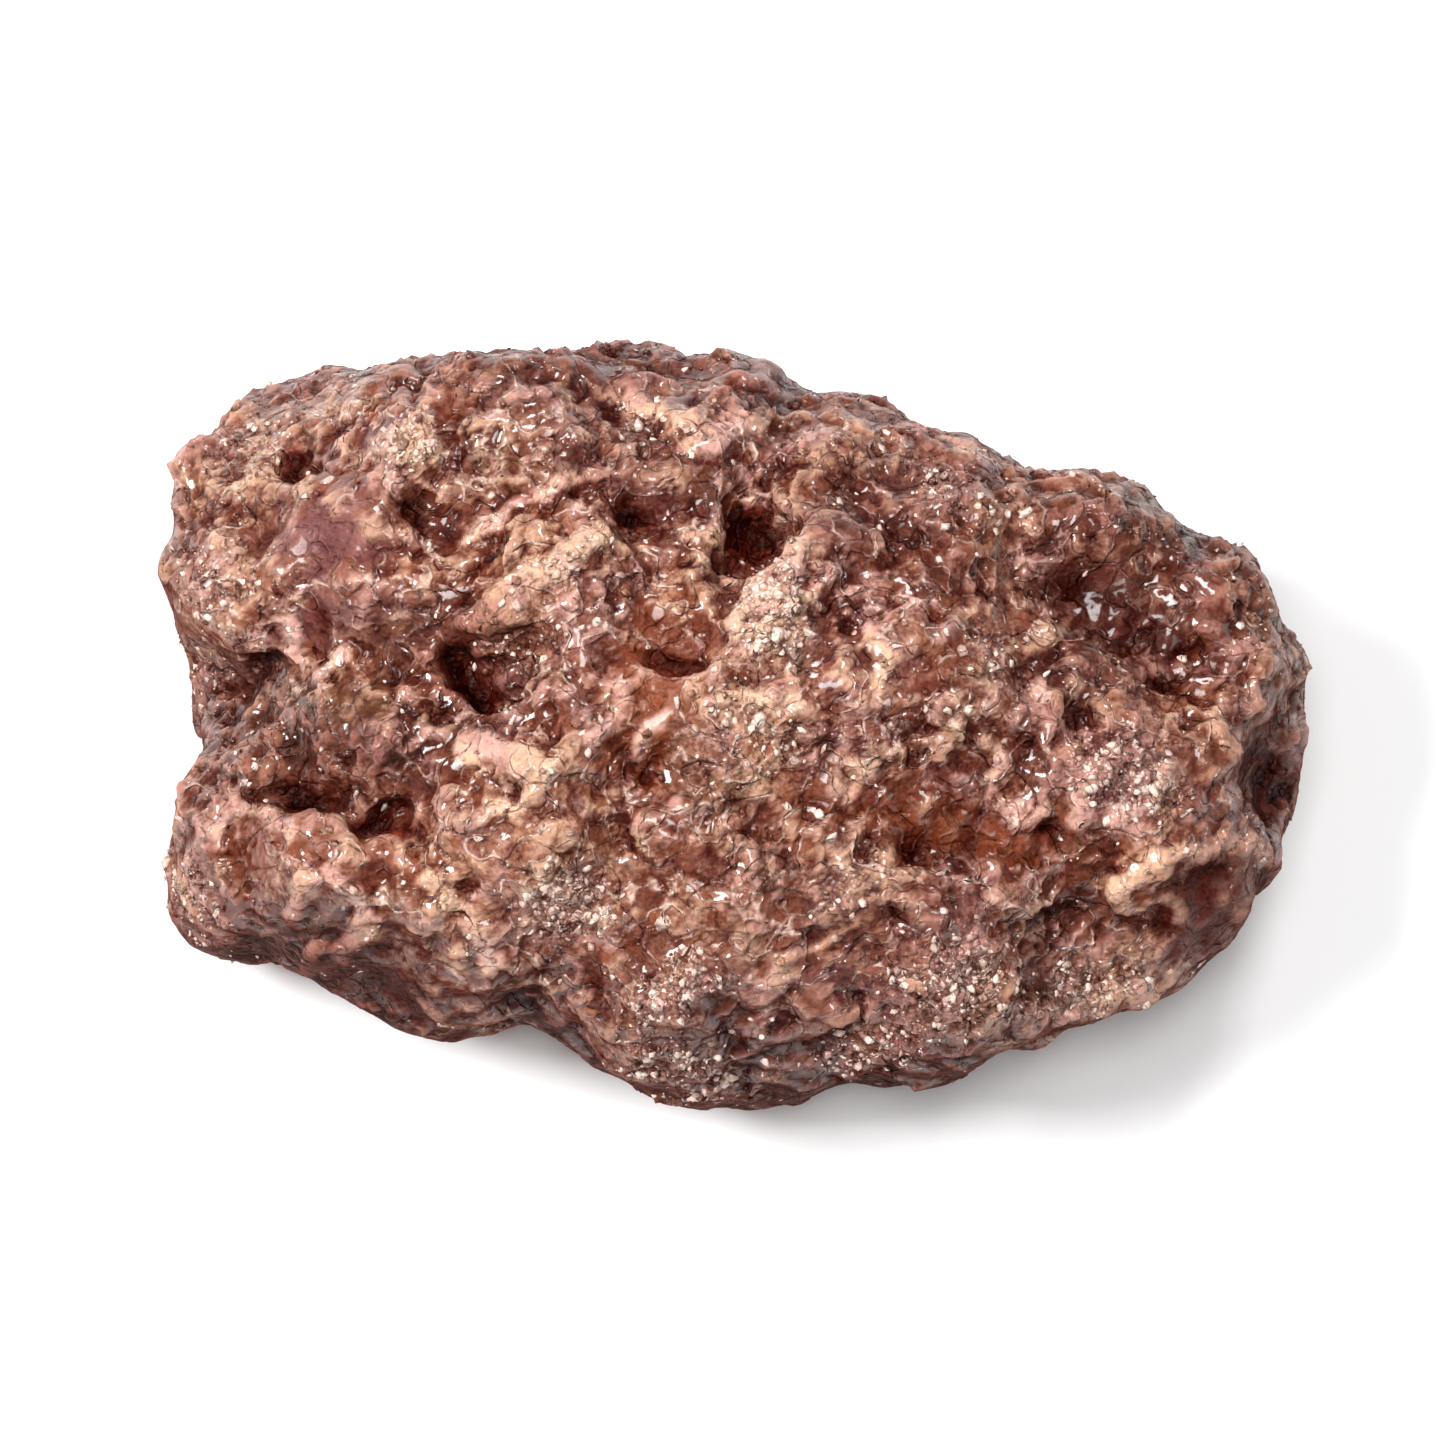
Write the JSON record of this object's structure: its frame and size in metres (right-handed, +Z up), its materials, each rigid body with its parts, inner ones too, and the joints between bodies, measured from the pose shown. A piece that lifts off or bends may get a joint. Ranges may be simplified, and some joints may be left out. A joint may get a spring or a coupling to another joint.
{
  "type": "candied pecan",
  "caption": "Pecan half under a thick cracked sugar crust, domed on top, rounded at the tip, cleft at the other end, with a flattened underside that it lies on.",
  "frame": {"origin": "middle of the bounding box in plan, on the surface that the nut lies on", "axes": "+X along the nut from its cleft end to its rounded tip, +Z up out of the domed side"},
  "size_m": [0.036, 0.0234, 0.0152],
  "materials": {
    "sugar_crust": "crumbly crystallised sugar and spice, dull on its clods and moist in its hollows"
  },
  "bodies": {
    "root": {"candied_pecan": "sugar_crust"}
  },
  "joints": []
}
